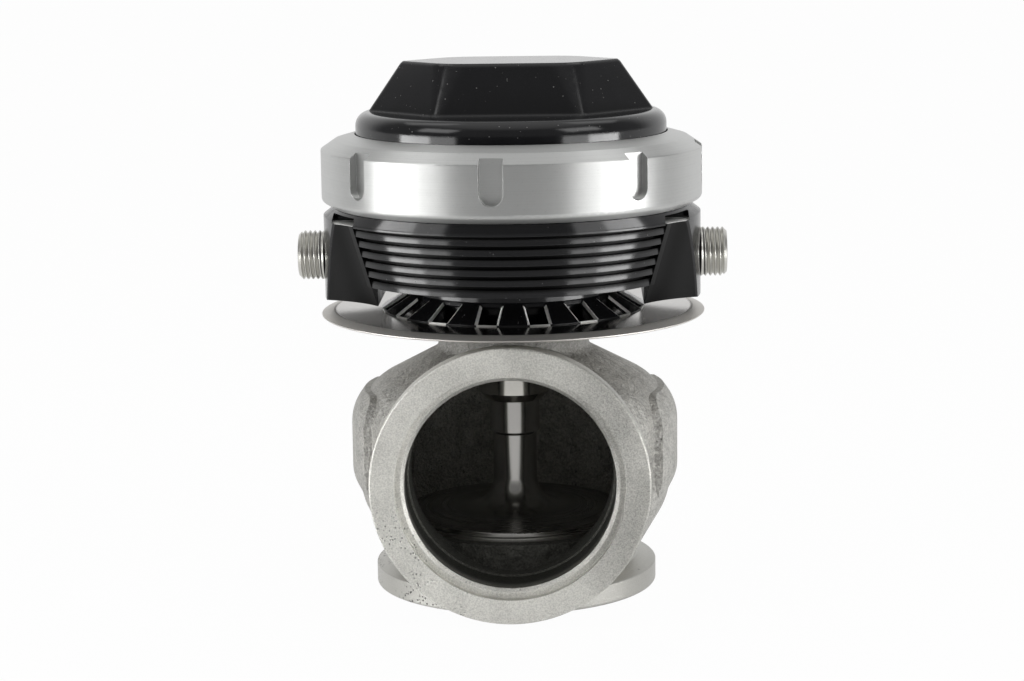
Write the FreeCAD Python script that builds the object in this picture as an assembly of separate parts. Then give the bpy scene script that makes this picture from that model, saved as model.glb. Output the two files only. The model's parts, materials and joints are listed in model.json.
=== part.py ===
"""External turbo wastegate with a 60 mm poppet valve and a spring and diaphragm actuator.

Millimetres, +Z up along the valve stem. The origin is the centre of the inlet flange's lower face.
The outlet faces -Y and the coolant stubs point along +X and -X.
Each function makes one piece; build() writes them all as STEP files.
"""
import FreeCAD
import Part
import math
import os

from FreeCAD import Vector

# ---- gaps and fits --------------------------------------------------------------------------------------
running_gap = 0.05          # radial, stem in guide and bush
loose_gap = 0.3             # radial, between pieces that move past each other
seat_gap = 0.15             # between the closed valve's cone and its seat

# ---- valve body -----------------------------------------------------------------------------------------
throat_radius = 30.0
throat_relief = 0.5         # how far the body's throat stands back from the seat ring's bore
cast_wall = 4.0
inlet_flange_radius = 41.3
inlet_land = 5.9            # height of the flange's cylindrical land
vband_drop = 2.2            # axial height of a V-band flange's back cone
inlet_neck_radius = 35.0
bulb_radius = 45.6
bulb_low = 26.2             # height where the lower cone reaches the bulb's widest radius
bulb_high = 57.7            # height where the shoulder starts
bulb_low_corner = 20.0      # rounding at the bulb's lower and upper edge
bulb_high_corner = 16.0
shoulder_slope = 0.524      # rise per millimetre of radius
body_neck_radius = 22.0
body_top = 80.3
chamber_floor = 19.0

outlet_height = 40.5
outlet_reach = 57.5         # distance of the outlet face from the stem axis
outlet_bore_radius = 29.1
outlet_bore_depth = 12.0    # length machined round, before the cast passage
outlet_cast_radius = 28.6
outlet_register_radius = 31.7
outlet_register_depth = 2.4
outlet_flange_radius = 38.6
outlet_land = 5.9

pad_raise = 2.2             # how far the cast side pads stand out
pad_half_width = 21.0
pad_low, pad_high = 27.0, 58.0
pad_corner = 7.0

# ---- seat, guide and valve ------------------------------------------------------------------------------
seat_wall = 3.2
seat_proud = 0.8            # how far the seat ring stands above the chamber floor
seat_depth = 5.5
seat_chamfer = 1.8
stem_radius = 7.3
stem_neck_radius = 6.4
stem_neck_top = 44.0
valve_lift = 14.0
valve_face_drop = 2.5       # head's lower face under the chamber floor
valve_rim = 1.25            # height of the head's cylindrical rim
valve_crown = 0.9           # rise of the head from rim to tulip
tulip_start = 23.0
tulip_corner = 8.0
guide_radius = 10.4
guide_length = 26.1
guide_nose = 2.5
guide_flange_radius = 12.5
guide_flange = 3.0

# ---- gasket, heat shield and base screws ----------------------------------------------------------------
gasket_thickness = 0.4
shield_thickness = 1.0
shield_flat_radius = 52.3
shield_radius = 55.7
shield_drop = 1.0
screw_circle = 18.0
screw_radius = 2.5
screw_head_radius = 4.25
screw_head = 5.0
screw_depth = 10.3          # thread length in the body's neck
screw_clearance = 0.3

# ---- actuator base --------------------------------------------------------------------------------------
foot_radius = 38.3
foot_edge = 0.3
foot_top_radius = 30.0
foot_height = 5.3
foot_wall = 2.4
plenum_width = 9.3          # from the foot's edge inwards, room behind the windows
vent_count = 16
vent_width = 5.2
vent_length = 7.8
vent_bevel = 0.7
vent_turn = 12.7            # first window, degrees from the outlet's side
foot_to_core = 9.3          # from the foot's lower face up to the finned core
core_height = 17.9
core_inset = 2.1            # how far the core stays inside the top band, at its top
core_taper = 5.8            # and how much narrower it is at its foot
band_radius = 54.6
band_height = 0.6
band_chamfer = 3.0
band_chamfer_rise = 2.3
fin_groove = 1.15
fin_pitch = 2.92
fin_count = 6
fin_depth = 1.7
fin_half_angle = 57.0
lug_scoop = 32.0            # radius of the scooped flanks beside the lugs
lug_bite = 0.15             # how far a scoop would reach into the core where it starts
lug_drop = 5.4              # how far the lugs' legs hang below the core
lug_reach = 17.1            # radial depth of the legs
pocket_reach = 11.3         # how far the four pockets under the top band reach in from its edge
pocket_lip = 4.2            # and how far inside that edge they start
pocket_side = 15.4
pocket_height = 2.3
bowl_wall = 9.5             # between the bowl and the collar's thread
core_to_bowl = 12.0         # height of the bowl's floor above the core's lower face
thread_inset = 3.8          # from the top band to the collar's thread, cut plain
thread_height = 12.2
gallery_inner = 24.5
gallery_outer = 34.0
gallery_rise = 2.5
gallery_height = 6.0
port_radius = 3.6
port_drop = 17.1            # port's axis below the base's upper face
port_pad_radius = 6.2
bead_inset = 3.6            # from the bowl to the diaphragm's bead
bead_width = 3.2
bead_depth = 1.6

bush_radius = 10.0
bush_rise = 3.0             # from the foot's lower face
bush_length = 8.3
seal_radius = 12.0
seal_length = 5.0
retainer_radius = 12.6
retainer_thickness = 1.5

# ---- coolant stubs --------------------------------------------------------------------------------------
stub_rise = 6.1             # stubs' axis above the core's lower face
stub_radius = 7.14          # 9/16 in thread, cut plain
stub_reach = 7.5            # how far the stubs stand out of their lugs
stub_relief = 0.4           # thread relief inside the lug
stub_chamfer = 1.0
stub_bore = 4.4
stub_seat = 3.2             # counterbore depth in the lug
stub_thread_radius = 5.8
stub_thread_depth = 12.0
stub_seal = 1.0

# ---- moving stack on the stem ---------------------------------------------------------------------------
stack_rise = 5.0            # stem shoulder that carries the stack, above the bowl's floor
stud_radius = 5.0
plate_thickness = 2.0
plate_inset = 2.7           # plate smaller than the piston
rubber = 0.9
piston_floor = 3.0
piston_room = 4.6           # radial room for the rolling diaphragm
piston_wall = 2.2
piston_height = 11.0
washer_radius = 9.4
washer_thickness = 1.2
nut_flats = 16.0
nut_height = 6.0
stud_spare = 1.3

# ---- springs --------------------------------------------------------------------------------------------
spring_sizes = {            # mean radius, wire diameter, turns
    "outer_spring": (16.0, 2.6, 6.5),
    "middle_spring": (13.2, 2.2, 7.5),
    "inner_spring": (10.9, 1.9, 8.5),
}
spring_seat_thickness = 1.2
spring_seat_gap = 0.6       # between the upper spring seat and the crown's bore
spring_sides = 8            # flats of the wire's section
spring_steps = 14           # straight runs per turn
spring_closed_turns = 0.8

# ---- cap and collar -------------------------------------------------------------------------------------
clamp_thickness = 1.0       # diaphragm edge between base and cap
cap_flange_inset = 0.4      # cap flange smaller than the thread
cap_flange = 3.6
cap_wall_inset = 5.55       # cap wall inside its flange
cap_shoulder_rise = 9.4     # start of the rounded shoulder, above the cap's lower face
cap_ledge_rise = 13.9
cap_ledge_inset = 3.15      # ledge's corner inside the wall
crown_height = 14.2
crown_edge = 0.6            # bevel round the crown's top
crown_sink = 0.1            # how far the crown's sides run on into the shoulder, as a share of its height
crown_low_corner = 41.5     # crown's two sharp corners on X, at its foot and at its top
crown_high_corner = 32.0
crown_low_flat = 23.9       # front and back flats
crown_high_flat = 18.3
crown_low_ridge = 20.6      # where the front and back flats end
crown_high_ridge = 17.5
crown_low_round = 5.0        # rounding of the four ridges at the crown's foot and top
crown_high_round = 13.0
crown_corner_round = 1.5
crown_bore = 17.8
cap_ceiling = 4.1
cap_ledge_wall = 2.7
cap_port_rise = 4.3         # port's axis above the ledge
cap_port_radius = 3.6
dowel_radius = 1.5
dowel_inset = 1.8           # dowel's axis outside the bowl
dowel_length = 5.0

slip_thickness = 0.8
slip_inset = 0.5            # slip ring smaller than the cap's flange
collar_overhang = 0.4       # collar wider than the base's top band
collar_band_gap = 0.2       # between the base's top band and the collar
collar_foot_inset = 3.4
collar_foot = 1.9
collar_foot_round = 1.5
collar_side_drop = 4.3      # upper edge of the side, below the collar's top
collar_slope_run = 4.0
collar_slope_drop = 1.6
collar_lip = 3.3
collar_lip_gap = 0.35       # between the collar's lip and the cap's wall
notch_count = 8
notch_width = 6.6
notch_depth = 2.3
notch_rise = 5.0            # notches' lower end above the collar's lower face
notch_turn = -4.4           # first notch, degrees from the outlet's side

# ---- radii and heights worked out from the sizes above --------------------------------------------------
valve_face_height = chamber_floor - valve_face_drop
guide_low = body_top - guide_length
shield_low = body_top + gasket_thickness
foot_low = shield_low + shield_thickness
core_low = foot_low + foot_to_core
band_low = core_low + core_height
band_high = band_low + band_height
band_top = band_high + band_chamfer_rise
base_top = band_top + thread_height
bowl_floor = core_low + core_to_bowl
lug_low = core_low - lug_drop
gallery_low = core_low + gallery_rise
port_height = base_top - port_drop
stub_height = core_low + stub_rise
bush_low = foot_low + bush_rise
seal_low = bush_low + bush_length
retainer_low = seal_low + seal_length
screw_seat = bowl_floor - screw_head
stack_low = bowl_floor + stack_rise
plate_top = stack_low + plate_thickness
piston_low = plate_top + rubber
spring_low = piston_low + piston_floor
washer_low = spring_low
nut_low = washer_low + washer_thickness
stem_top = nut_low + nut_height + stud_spare
cap_low = base_top + clamp_thickness
slip_low = cap_low + cap_flange
lip_low = slip_low + slip_thickness
cap_shoulder_low = cap_low + cap_shoulder_rise
cap_ledge = cap_low + cap_ledge_rise
cap_top = cap_ledge + crown_height
cap_port_height = cap_ledge + cap_port_rise
room_top = cap_top - cap_ceiling
spring_high = room_top - spring_seat_thickness
collar_low = band_top + collar_band_gap
collar_top = lip_low + collar_lip
collar_side_top = collar_top - collar_side_drop
collar_slope_top = collar_top - collar_slope_drop
notch_low = collar_low + notch_rise

core_high_radius = band_radius - core_inset
core_low_radius = core_high_radius - core_taper
core_slope = core_taper / core_height
band_top_radius = band_radius - band_chamfer
lug_inner = band_radius - lug_reach
pocket_inner = band_radius - pocket_reach
thread_radius = band_radius - thread_inset
bowl_radius = thread_radius - bowl_wall
bead_inner = bowl_radius + bead_inset
bead_outer = bead_inner + bead_width
stub_tip = band_radius + stub_reach
piston_radius = bowl_radius - piston_room
plate_radius = piston_radius - plate_inset
cap_flange_radius = thread_radius - cap_flange_inset
cap_wall_radius = cap_flange_radius - cap_wall_inset
cap_ledge_radius = cap_wall_radius - cap_ledge_inset
dowel_circle = bowl_radius + dowel_inset
slip_inner = cap_wall_radius + 0.5 + collar_lip_gap
slip_outer = cap_flange_radius - slip_inset
collar_bore = thread_radius + loose_gap
collar_radius = band_radius + collar_overhang
collar_foot_radius = collar_radius - collar_foot_inset
collar_slope_radius = collar_radius - collar_slope_run
collar_lip_radius = cap_wall_radius + collar_lip_gap
spring_seat_radius = crown_bore - spring_seat_gap

Z = Vector(0, 0, 1)
origin = Vector(0, 0, 0)


# ---- drawing helpers ------------------------------------------------------------------------------------
def rounded_wire(points):
    """Closed wire in the XZ plane. A point is (r, z) or (r, z, corner radius)."""
    spots = [(Vector(p[0], 0, p[1]), p[2] if len(p) > 2 else 0.0) for p in points]
    ends = []
    arcs = []
    for i, (here, radius) in enumerate(spots):
        if radius <= 0:
            ends.append((here, here))
            arcs.append(None)
            continue
        back = (spots[i - 1][0] - here).normalize()
        ahead = (spots[(i + 1) % len(spots)][0] - here).normalize()
        half = back.getAngle(ahead) / 2
        reach = radius / math.tan(half)
        middle = here + (back + ahead).normalize() * (radius / math.sin(half) - radius)
        ends.append((here + back * reach, here + ahead * reach))
        arcs.append(middle)
    edges = []
    for i, (first, last) in enumerate(ends):
        if arcs[i] is not None:
            edges.append(Part.Arc(first, arcs[i], last).toShape())
        onward = ends[(i + 1) % len(ends)][0]
        if last.distanceToPoint(onward) > 1e-6:
            edges.append(Part.makeLine(last, onward))
    return Part.Wire(edges)


def lathe(points):
    """Solid of revolution about +Z."""
    return Part.Face(rounded_wire(points)).revolve(origin, Z, 360)


def ring(inner, outer, low, high):
    """Plain round ring or, with inner 0, a disc."""
    body = Part.makeCylinder(outer, high - low, Vector(0, 0, low))
    if inner <= 0:
        return body
    return body.cut(Part.makeCylinder(inner, high - low, Vector(0, 0, low)))


def turned(shape, degrees):
    """Copy turned about +Z."""
    copy = shape.copy()
    copy.rotate(origin, Z, degrees)
    return copy


def pattern(shape, count, start=0.0):
    """Copies of a shape evenly round +Z, as one compound."""
    return Part.makeCompound([turned(shape, start + 360.0 * i / count) for i in range(count)])


def outward(shape, height):
    """Takes a shape made along +Z from the origin to -Y at a height."""
    copy = shape.copy()
    copy.rotate(origin, Vector(1, 0, 0), 90)
    copy.translate(Vector(0, 0, height))
    return copy


def hexagon(corner_radius, z):
    """Plain regular hexagon wire with corners on X."""
    corners = [turned_point(corner_radius, 60 * i) + Vector(0, 0, z) for i in range(7)]
    return Part.makePolygon(corners)


def screw_positions():
    return [turned_point(screw_circle, 45 + 90 * i) for i in range(4)]


def turned_point(radius, degrees):
    angle = math.radians(degrees)
    return Vector(radius * math.cos(angle), radius * math.sin(angle), 0)


def screw_holes(radius, low, high):
    holes = [Part.makeCylinder(radius, high - low, p + Vector(0, 0, low)) for p in screw_positions()]
    return Part.makeCompound(holes)


# ---- exhaust side ---------------------------------------------------------------------------------------
def shoulder_height(radius, inset=0.0):
    """Height of the bulb's sloping shoulder, or of its inner wall with inset as the wall."""
    drop = inset * math.sqrt(1 + shoulder_slope ** 2)
    return bulb_high - drop - (radius - bulb_radius) * shoulder_slope


def side_pads():
    """Plain raised pads on the bulb's two sides."""
    raised = bulb_radius + pad_raise
    skin = lathe([(0, pad_low), (raised - 3.0, pad_low), (raised, pad_low + 6, 10), (raised, bulb_high - 5, 14),
                  (raised - 6.0, pad_high + 3), (0, pad_high + 3)])
    outline = rounded_wire([(-pad_half_width, pad_low, pad_corner), (pad_half_width, pad_low, pad_corner),
                            (pad_half_width, pad_high, pad_corner), (-pad_half_width, pad_high, pad_corner)])
    block = Part.Face(outline).extrude(Vector(0, -2 * raised, 0))
    block.translate(Vector(0, raised, 0))
    block.rotate(origin, Z, 90)
    return skin.common(block)


def valve_body():
    neck_start = inlet_land + vband_drop
    shell = lathe([
        (0, 0), (inlet_flange_radius, 0, 0.6), (inlet_flange_radius, inlet_land, 0.4),
        (inlet_neck_radius, neck_start, 0.8), (bulb_radius, bulb_low, bulb_low_corner), (bulb_radius, bulb_high, bulb_high_corner),
        (body_neck_radius, shoulder_height(body_neck_radius), 2.5), (body_neck_radius, body_top, 0.4), (0, body_top)])
    pipe_radius = outlet_bore_radius + cast_wall
    outlet = outward(lathe([
        (0, 15.0), (pipe_radius, 15.0), (pipe_radius, outlet_reach - outlet_land - vband_drop, 0.8),
        (outlet_flange_radius, outlet_reach - outlet_land, 0.4), (outlet_flange_radius, outlet_reach, 0.6),
        (0, outlet_reach)]), outlet_height)
    body = shell.fuse([outlet, side_pads()])

    inner = bulb_radius - cast_wall
    room_top_radius = guide_radius + cast_wall
    chamber = lathe([
        (0, chamber_floor), (inner - 5.6, chamber_floor, 1.5), (inner, bulb_low + 1.0, 12.0),
        (inner, shoulder_height(inner, cast_wall), 12.0),
        (room_top_radius, shoulder_height(room_top_radius, cast_wall), 2.0),
        (0, shoulder_height(room_top_radius, cast_wall))])
    register_low = outlet_reach - outlet_register_depth
    bore_low = register_low - 1.0 - outlet_bore_depth
    passage = outward(lathe([
        (0, 16.0), (outlet_cast_radius, 16.0), (outlet_cast_radius, bore_low), (outlet_bore_radius, bore_low),
        (outlet_bore_radius, register_low - 1.0),
        (outlet_bore_radius + 1.0, register_low), (outlet_register_radius, register_low),
        (outlet_register_radius, outlet_reach + 1.0), (0, outlet_reach + 1.0)]), outlet_height)
    throat_block = ring(0, inner - 4.6, 0, chamber_floor)
    throat_hole = ring(0, throat_radius + throat_relief, -1, chamber_floor - seat_depth)
    seat_hole = ring(0, throat_radius + seat_wall, chamber_floor - seat_depth, chamber_floor + 1)
    guide_hole = ring(0, guide_radius, bulb_high, body_top + 1)
    guide_seat = ring(0, guide_flange_radius, body_top - guide_flange, body_top + 1)
    body = body.cut(chamber)
    body = body.cut(passage.cut(throat_block))
    threads = screw_holes(screw_radius, body_top - screw_depth, body_top + 1)
    return body.cut([throat_hole, seat_hole, guide_hole, guide_seat, threads])


def valve_seat():
    low = chamber_floor - seat_depth
    high = chamber_floor + seat_proud
    return lathe([
        (throat_radius, low), (throat_radius + seat_wall, low), (throat_radius + seat_wall, high),
        (throat_radius + seat_chamfer, high), (throat_radius, high - seat_chamfer)])


def valve_guide():
    bore = stem_radius + running_gap
    return lathe([
        (bore, guide_low), (guide_radius - guide_nose, guide_low), (guide_radius, guide_low + guide_nose),
        (guide_radius, body_top - guide_flange), (guide_flange_radius, body_top - guide_flange),
        (guide_flange_radius, body_top), (bore, body_top)])


def valve():
    """Poppet valve: dished head, tulip, necked stem, ground journal and threaded end."""
    seat_high = chamber_floor + seat_proud
    offset = seat_gap * math.sqrt(2)
    rim_radius = throat_radius + seat_chamfer - 0.05
    rim_low = seat_high - seat_chamfer + (rim_radius - throat_radius) + offset
    face_radius = rim_radius - (rim_low - valve_face_height)
    rim_high = rim_low + valve_rim
    crown = rim_high + valve_crown
    return lathe([
        (0, valve_face_height), (face_radius, valve_face_height), (rim_radius, rim_low), (rim_radius, rim_high, 0.3),
        (tulip_start, crown), (stem_neck_radius, crown + 1.2, tulip_corner), (stem_neck_radius, stem_neck_top),
        (stem_radius, stem_neck_top + 0.9), (stem_radius, stack_low), (stud_radius, stack_low),
        (stud_radius, stem_top - 0.8), (stud_radius - 0.8, stem_top), (0, stem_top)])


def body_gasket():
    plate = ring(guide_flange_radius + 0.2, body_neck_radius - 0.3, body_top, shield_low)
    return plate.cut(screw_holes(screw_radius + screw_clearance, body_top, shield_low))


def heat_shield():
    """Polished disc with its rim turned down."""
    low = shield_low
    high = foot_low
    hole = stem_radius + 1.5
    disc = lathe([
        (hole, low), (shield_flat_radius - 0.3, low), (shield_radius - 0.4, low - shield_drop / 2),
        (shield_radius, low - shield_drop / 2 + 0.3), (shield_radius, high - shield_drop), (shield_flat_radius, high),
        (hole, high)])
    return disc.cut(screw_holes(screw_radius + screw_clearance, low, high))


# ---- actuator base --------------------------------------------------------------------------------------
def vent_cutter():
    """One bevelled window through the sloping wall of the foot, on the outlet's side."""
    run = foot_radius - foot_top_radius
    rise = foot_height - foot_edge
    slope = math.atan2(rise, run)
    half = vent_width / 2
    wide = half + vent_bevel
    long_half = vent_length / 2

    def window(half_width, half_length, depth):
        corners = [(-half_width, -half_length), (half_width, -half_length), (half_width, half_length),
                   (-half_width, half_length), (-half_width, -half_length)]
        return Part.makePolygon([Vector(x, y, depth) for x, y in corners])

    opening = Part.makeLoft([window(half, long_half, -3 * foot_wall), window(half, long_half, -vent_bevel)], True)
    bevel = Part.makeLoft([window(half, long_half, -vent_bevel), window(wide, long_half + vent_bevel, 0),
                           window(wide, long_half + vent_bevel, 1.0)], True, True)
    cutter = opening.fuse(bevel)
    cutter.rotate(origin, Vector(1, 0, 0), math.degrees(slope))
    middle_radius = (foot_radius + foot_top_radius) / 2
    middle_height = foot_low + foot_edge + rise / 2
    cutter.translate(Vector(0, -middle_radius, middle_height))
    return cutter


def sector(width, low, high):
    """Two opposite wedges of the given half width in degrees, centred on X."""
    reach = 2 * band_radius
    spread = reach * math.tan(math.radians(width))
    wedges = []
    for way in (-1, 1):
        corners = [Vector(0, 0, low), Vector(way * reach, -spread, low), Vector(way * reach, spread, low),
                   Vector(0, 0, low)]
        wedges.append(Part.Face(Part.makePolygon(corners)).extrude(Vector(0, 0, high - low)))
    return Part.makeCompound(wedges)


def side_lugs():
    """Two lugs for the coolant stubs, with round scoops that run out on the finned core."""
    lean = math.atan(core_slope)
    along = Vector(math.sin(lean), 0, math.cos(lean))
    normal = Vector(math.cos(lean), 0, -math.sin(lean))
    foot = Vector(core_low_radius, 0, core_low) + normal * (lug_scoop - lug_bite) - along * (2 * lug_drop)
    scoop = Part.makeCylinder(lug_scoop, core_height + 4 * lug_drop, foot, along)
    lugs = ring(0, band_radius, lug_low, band_low).common(sector(90 - fin_half_angle, lug_low, band_low))
    turns = [way * (90 - fin_half_angle) + side for way in (-1, 1) for side in (0, 180)]
    gap = Part.makeBox(2 * lug_inner, 2 * band_radius, core_low - lug_low, Vector(-lug_inner, -band_radius, lug_low))
    return lugs.cut([turned(scoop, turn) for turn in turns] + [gap])


def fin_cutter():
    """Takes the front and the back down to upright fins, each as wide as the tapered side at its lower edge."""
    profile = [(band_radius + 1, core_low), (core_low_radius, core_low)]
    radius = core_low_radius
    for i in reversed(range(fin_count)):
        low = band_low - fin_groove - i * fin_pitch
        high = band_low if i == 0 else low + fin_groove
        floor = core_low_radius + (low - core_low) * core_slope - fin_depth
        profile += [(radius, low), (floor, low), (floor, high)]
        radius = core_low_radius + (high - core_low) * core_slope
        if i > 0:
            profile.append((radius, high))
    profile.append((band_radius + 1, band_low))
    wedges = turned(sector(fin_half_angle, core_low, band_low), 90)
    return lathe(profile).common(wedges)


def band_pockets():
    """Four milled pockets in the top band, above the lugs' flanks."""
    size = band_radius
    width = pocket_reach - pocket_lip
    pockets = []
    for x in (-1, 1):
        for y in (-1, 1):
            box = Part.makeBox(width, size, pocket_height)
            box.translate(Vector(pocket_inner if x > 0 else -pocket_inner - width,
                                 pocket_side if y > 0 else -pocket_side - size, band_low))
            pockets.append(box)
    return pockets


def port_cylinder(radius, inner, outer, height):
    """Round bar along +Y on the rear side."""
    return Part.makeCylinder(radius, outer - inner, Vector(0, inner, height), Vector(0, 1, 0))


def stub_holes(side):
    """Stepped hole for one coolant stub, down to the gallery."""
    way = Vector(side, 0, 0)
    steps = [(stub_radius, band_radius - stub_seat, band_radius + 1),
             (stub_thread_radius, band_radius - stub_seat - stub_thread_depth, band_radius),
             (stub_bore, (gallery_inner + gallery_outer) / 2, band_radius)]
    return [Part.makeCylinder(r, high - low, Vector(side * low, 0, stub_height), way) for r, low, high in steps]


def actuator_base():
    core = lathe([
        (0, foot_low), (foot_radius, foot_low), (foot_radius, foot_low + foot_edge),
        (foot_top_radius, foot_low + foot_height), (foot_top_radius, core_low), (core_low_radius, core_low),
        (core_high_radius, band_low), (band_radius, band_low), (band_radius, band_high), (band_top_radius, band_top),
        (thread_radius, band_top), (thread_radius, base_top - 0.6),
        (thread_radius - 0.6, base_top), (0, base_top)])
    pad = port_cylinder(port_pad_radius, bowl_radius - 5, core_high_radius, port_height)
    base = core.cut(fin_cutter().cut(pad)).fuse(side_lugs())

    bowl = lathe([(0, bowl_floor), (bowl_radius, bowl_floor, 2.0), (bowl_radius, base_top + 1), (0, base_top + 1)])
    slope = (foot_height - foot_edge) / (foot_radius - foot_top_radius)
    plenum_outer = foot_radius - foot_wall
    plenum_inner = foot_radius - plenum_width
    plenum = lathe([
        (plenum_inner, foot_low - 1), (plenum_outer, foot_low - 1), (plenum_outer, foot_low + foot_edge / 2),
        (plenum_inner, foot_low + foot_edge / 2 + (plenum_outer - plenum_inner) * slope)])
    gallery = ring(gallery_inner, gallery_outer, gallery_low, gallery_low + gallery_height)
    bead = ring(bead_inner, bead_outer, base_top - bead_depth, base_top + 1)
    centre = lathe([
        (0, foot_low - 1), (stem_radius + 0.7, foot_low - 1), (stem_radius + 0.7, bush_low), (bush_radius, bush_low),
        (bush_radius, seal_low), (seal_radius, seal_low), (seal_radius, retainer_low),
        (retainer_radius, retainer_low), (retainer_radius, bowl_floor + 1), (0, bowl_floor + 1)])
    port = port_cylinder(port_radius, bowl_radius - 5, band_radius + 1, port_height)
    screws = screw_holes(screw_radius + screw_clearance, foot_low - 1, bowl_floor + 1)
    heads = screw_holes(screw_head_radius + screw_clearance, screw_seat, bowl_floor + 1)
    dowel = dowel_bar(dowel_radius, base_top - dowel_length / 2)
    tools = [bowl, plenum, gallery, bead, centre, port, screws, heads, dowel]
    tools += band_pockets() + stub_holes(1) + stub_holes(-1)
    return base.cut(tools).cut(pattern(vent_cutter(), vent_count, vent_turn))


def base_bush():
    return ring(stem_radius + running_gap, bush_radius, bush_low, seal_low)


def stem_seal():
    """Lip seal with an open groove towards the boost side."""
    bore = stem_radius + running_gap
    return lathe([
        (bore, seal_low), (seal_radius, seal_low), (seal_radius, retainer_low), (seal_radius - 1.2, retainer_low),
        (seal_radius - 1.8, seal_low + 1.6), (bore + 1.1, seal_low + 1.6), (bore + 0.8, retainer_low),
        (bore, retainer_low)])


def seal_retainer():
    return ring(stem_radius + 0.7, retainer_radius, retainer_low, retainer_low + retainer_thickness)


def socket(flats, depth, z):
    """Hexagon socket cutter below height z."""
    return Part.Face(hexagon(flats / math.sqrt(3), z - depth)).extrude(Vector(0, 0, depth + 1))


def base_screws():
    low = body_top - screw_depth
    blank = lathe([
        (0, low), (screw_radius - 0.5, low), (screw_radius, low + 0.5), (screw_radius, screw_seat),
        (screw_head_radius, screw_seat), (screw_head_radius, bowl_floor - 0.5), (screw_head_radius - 0.5, bowl_floor),
        (0, bowl_floor)])
    blank = blank.cut(socket(4.0, 2.5, bowl_floor))
    screws = []
    for place in screw_positions():
        screw = blank.copy()
        screw.translate(place)
        screws.append(screw)
    return Part.makeCompound(screws)


def coolant_fitting(side):
    """Threaded stub with a shoulder and a through bore."""
    seat = band_radius - stub_seat
    blank = lathe([
        (stub_bore - 0.4, seat - stub_thread_depth), (stub_thread_radius, seat - stub_thread_depth),
        (stub_thread_radius, seat + stub_seal), (stub_radius - stub_relief, seat + stub_seal),
        (stub_radius - stub_relief, band_radius), (stub_radius, band_radius), (stub_radius, stub_tip - stub_chamfer),
        (stub_radius - stub_chamfer, stub_tip), (stub_bore - 0.4, stub_tip)])
    blank.rotate(origin, Vector(0, 1, 0), 90 * side)
    blank.translate(Vector(0, 0, stub_height))
    return blank


def fitting_seal(side):
    seat = band_radius - stub_seat
    blank = ring(stub_thread_radius, stub_radius - stub_relief, seat, seat + stub_seal)
    blank.rotate(origin, Vector(0, 1, 0), 90 * side)
    blank.translate(Vector(0, 0, stub_height))
    return blank


# ---- moving stack and springs ---------------------------------------------------------------------------
def diaphragm_plate():
    return lathe([
        (stud_radius, stack_low), (plate_radius - 6, stack_low), (plate_radius, stack_low + 1.0),
        (plate_radius, plate_top), (stud_radius, plate_top)])


def diaphragm():
    """Rolling rubber diaphragm: clamped edge with bead, one convolution, skirt and flat centre."""
    outer_wall = bowl_radius - loose_gap
    skirt = piston_radius + loose_gap
    crest = cap_low + 3.0
    moulding = lathe([
        (stud_radius + loose_gap, plate_top), (skirt + rubber, plate_top, 1.0), (skirt + rubber, crest - rubber),
        (outer_wall - rubber, crest - rubber), (outer_wall - rubber, base_top), (bead_inner, base_top),
        (bead_inner, base_top - bead_depth), (bead_outer, base_top - bead_depth), (bead_outer, base_top),
        (thread_radius - 0.8, base_top), (thread_radius - 0.8, cap_low), (outer_wall, cap_low),
        (outer_wall, crest, 1.0), (skirt, crest, 1.0), (skirt, piston_low), (stud_radius + loose_gap, piston_low)])
    return moulding.cut(dowel_bar(dowel_radius + running_gap, base_top - dowel_length / 2))


def piston():
    """Cup that carries the springs and guides the diaphragm's skirt."""
    inner = piston_radius - piston_wall
    return lathe([
        (stud_radius, piston_low), (piston_radius, piston_low, 1.0), (piston_radius, piston_low + piston_height),
        (inner, piston_low + piston_height), (inner, spring_low, 2.0), (stud_radius, spring_low)])


def stem_washer():
    return ring(stud_radius, washer_radius, washer_low, nut_low)


def stem_nut():
    nut = Part.Face(hexagon(nut_flats / math.sqrt(3), nut_low)).extrude(Vector(0, 0, nut_height))
    return nut.cut(ring(0, stud_radius, nut_low - 1, nut_low + nut_height + 1))


def spring_centre(turn, turns, wire, low, high):
    """Height of the wire's centre, with closed turns at both ends."""
    closed = spring_closed_turns
    bottom = low + wire / 2
    top = high - wire / 2
    if turn <= closed:
        return bottom + wire * turn
    if turn >= turns - closed:
        return top - wire * (turns - turn)
    share = (turn - closed) / (turns - 2 * closed)
    return bottom + wire * closed + share * (top - bottom - 2 * wire * closed)


def spring(name):
    """Coil spring of straight mitred runs with a flat-sided wire section."""
    mean_radius, wire, turns = spring_sizes[name]
    count = int(round(turns * spring_steps))
    path = []
    for i in range(count + 1):
        turn = turns * i / count
        angle = 2 * math.pi * turn
        height = spring_centre(turn, turns, wire, spring_low, spring_high)
        path.append(Vector(mean_radius * math.cos(angle), mean_radius * math.sin(angle), height))
    out = Vector(1, 0, 0)
    section = []
    for k in range(spring_sides):
        angle = 2 * math.pi * (k + 0.5) / spring_sides
        section.append(path[0] + out * (wire / 2 * math.cos(angle)) + Z * (wire / 2 * math.sin(angle)))
    sections = [section]
    for i in range(count):
        run = (path[i + 1] - path[i]).normalize()
        last = i + 1 == count
        normal = run if last else (run + (path[i + 2] - path[i + 1]).normalize())
        sections.append([p + run * ((path[i + 1] - p).dot(normal) / run.dot(normal)) for p in sections[-1]])
    faces = [Part.Face(Part.makePolygon(end + [end[0]])) for end in (sections[0], sections[-1])]
    for near, far in zip(sections, sections[1:]):
        for k in range(spring_sides):
            following = (k + 1) % spring_sides
            corners = [near[k], near[following], far[following], far[k], near[k]]
            faces.append(Part.Face(Part.makePolygon(corners)))
    return Part.Solid(Part.makeShell(faces))


def spring_seat():
    return lathe([
        (stud_radius, spring_high), (spring_seat_radius, spring_high), (spring_seat_radius, room_top),
        (stud_radius, room_top)])


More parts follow.
